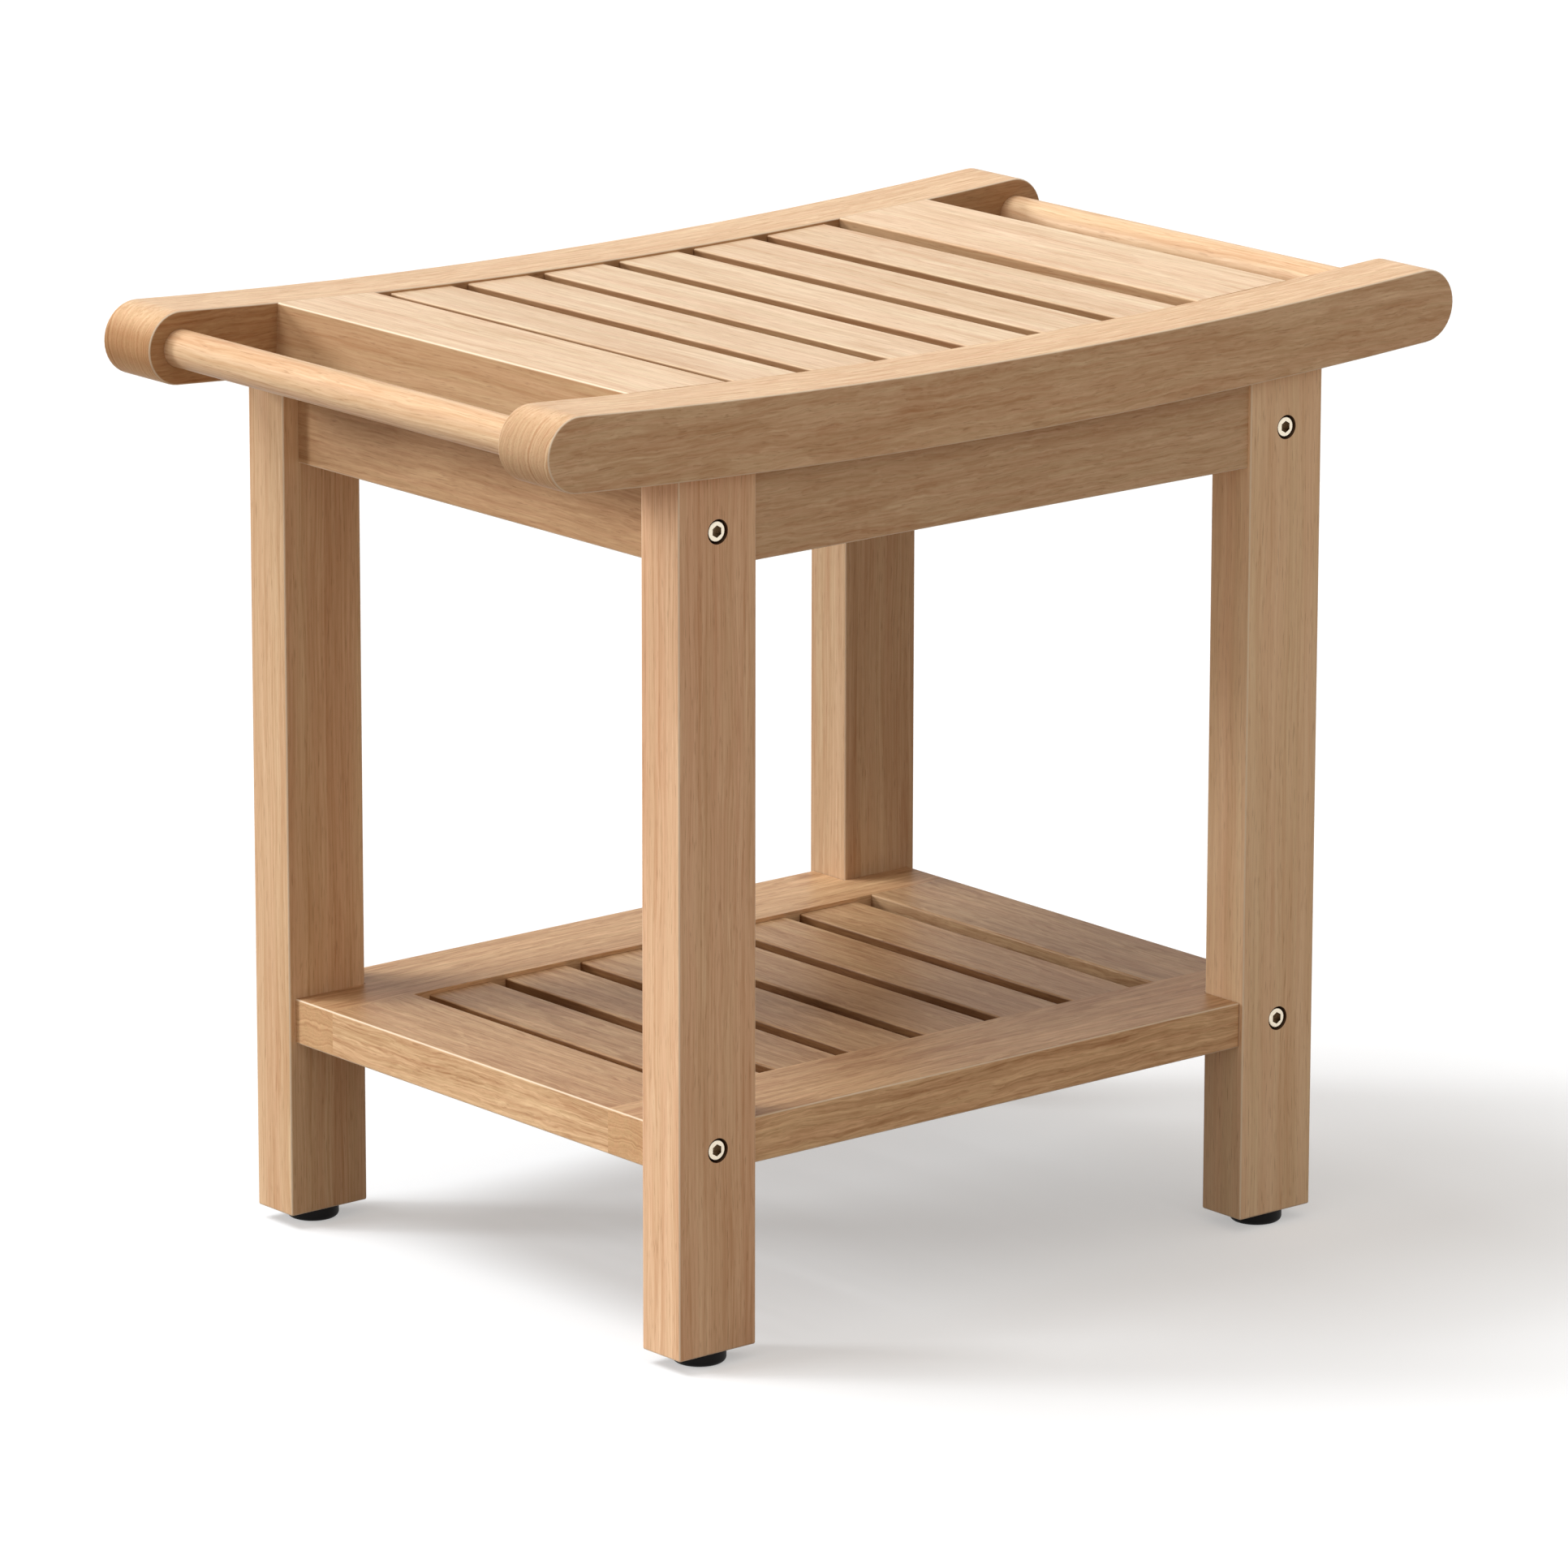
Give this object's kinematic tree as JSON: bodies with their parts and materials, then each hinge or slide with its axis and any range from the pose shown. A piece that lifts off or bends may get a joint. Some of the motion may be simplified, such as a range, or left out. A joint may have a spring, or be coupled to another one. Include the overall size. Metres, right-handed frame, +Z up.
{
  "type": "shower bench",
  "caption": "Slatted wooden shower bench with dished seat rails, round grab rods at the ends, a slatted shelf notched round the legs and screw-in levelling feet.",
  "frame": {"origin": "on the floor under the middle of the seat", "axes": "+X along the seat to the right, +Y from the front to the back, +Z up"},
  "size_m": [0.547, 0.332, 0.4562],
  "materials": {
    "seat_wood": "oiled, satin",
    "frame_wood": "oiled, satin",
    "shelf_wood": "oiled, satin",
    "dowel_wood": "plain",
    "bolt_metal": "nickel plated",
    "nut_metal": "zinc plated",
    "stem_metal": "zinc plated",
    "insert_metal": "turned",
    "foot_rubber": "matt black"
  },
  "bodies": {
    "frame": {"rail_front": "seat_wood", "rail_back": "seat_wood", "seat_end_board_left": "seat_wood", "seat_end_board_right": "seat_wood", "handle_rod_left": "seat_wood", "handle_rod_right": "seat_wood", "seat_slat_1": "seat_wood", "seat_slat_2": "seat_wood", "seat_slat_3": "seat_wood", "seat_slat_4": "seat_wood", "seat_slat_5": "seat_wood", "seat_slat_6": "seat_wood", "leg_front_left": "frame_wood", "leg_front_right": "frame_wood", "leg_back_left": "frame_wood", "leg_back_right": "frame_wood", "apron_front": "frame_wood", "apron_back": "frame_wood", "apron_left": "frame_wood", "apron_right": "frame_wood", "shelf_board_front": "shelf_wood", "shelf_board_back": "shelf_wood", "shelf_end_board_left": "shelf_wood", "shelf_end_board_right": "shelf_wood", "shelf_slat_1": "shelf_wood", "shelf_slat_2": "shelf_wood", "shelf_slat_3": "shelf_wood", "shelf_slat_4": "shelf_wood", "shelf_slat_5": "shelf_wood", "shelf_slat_6": "shelf_wood", "upper_bolts": "bolt_metal", "lower_bolts": "bolt_metal", "upper_barrel_nuts": "nut_metal", "lower_barrel_nuts": "nut_metal", "leg_dowels": "dowel_wood", "foot_inserts": "insert_metal"},
    "foot_front_left": {"foot_pad_front_left": "foot_rubber"},
    "stem_front_left": {"foot_stem_front_left": "stem_metal"},
    "foot_front_right": {"foot_pad_front_right": "foot_rubber"},
    "stem_front_right": {"foot_stem_front_right": "stem_metal"},
    "foot_back_left": {"foot_pad_back_left": "foot_rubber"},
    "stem_back_left": {"foot_stem_back_left": "stem_metal"},
    "foot_back_right": {"foot_pad_back_right": "foot_rubber"},
    "stem_back_right": {"foot_stem_back_right": "stem_metal"}
  },
  "joints": [
    {"name": "foot_front_left_height", "type": "slide", "parent": "frame", "child": "foot_front_left", "axis": [0, 0, -1], "range_m": [0, 0.01]},
    {"name": "foot_front_left_screw", "type": "hinge", "parent": "foot_front_left", "child": "stem_front_left", "pos_m": [-0.1725, -0.1465, 0], "axis": [0, 0, -1], "range_deg": [0, 2881]},
    {"name": "foot_front_right_height", "type": "slide", "parent": "frame", "child": "foot_front_right", "axis": [0, 0, -1], "range_m": [0, 0.01]},
    {"name": "foot_front_right_screw", "type": "hinge", "parent": "foot_front_right", "child": "stem_front_right", "pos_m": [0.1725, -0.1465, 0], "axis": [0, 0, -1], "range_deg": [0, 2881]},
    {"name": "foot_back_left_height", "type": "slide", "parent": "frame", "child": "foot_back_left", "axis": [0, 0, -1], "range_m": [0, 0.01]},
    {"name": "foot_back_left_screw", "type": "hinge", "parent": "foot_back_left", "child": "stem_back_left", "pos_m": [-0.1725, 0.1465, 0], "axis": [0, 0, -1], "range_deg": [0, 2881]},
    {"name": "foot_back_right_height", "type": "slide", "parent": "frame", "child": "foot_back_right", "axis": [0, 0, -1], "range_m": [0, 0.01]},
    {"name": "foot_back_right_screw", "type": "hinge", "parent": "foot_back_right", "child": "stem_back_right", "pos_m": [0.1725, 0.1465, 0], "axis": [0, 0, -1], "range_deg": [0, 2881]}
  ],
  "couplings": [
    {"joint": "foot_front_left_screw", "follows": "foot_front_left_height", "rad_per_m": 5026.5},
    {"joint": "foot_front_right_screw", "follows": "foot_front_right_height", "rad_per_m": 5026.5},
    {"joint": "foot_back_left_screw", "follows": "foot_back_left_height", "rad_per_m": 5026.5},
    {"joint": "foot_back_right_screw", "follows": "foot_back_right_height", "rad_per_m": 5026.5}
  ]
}
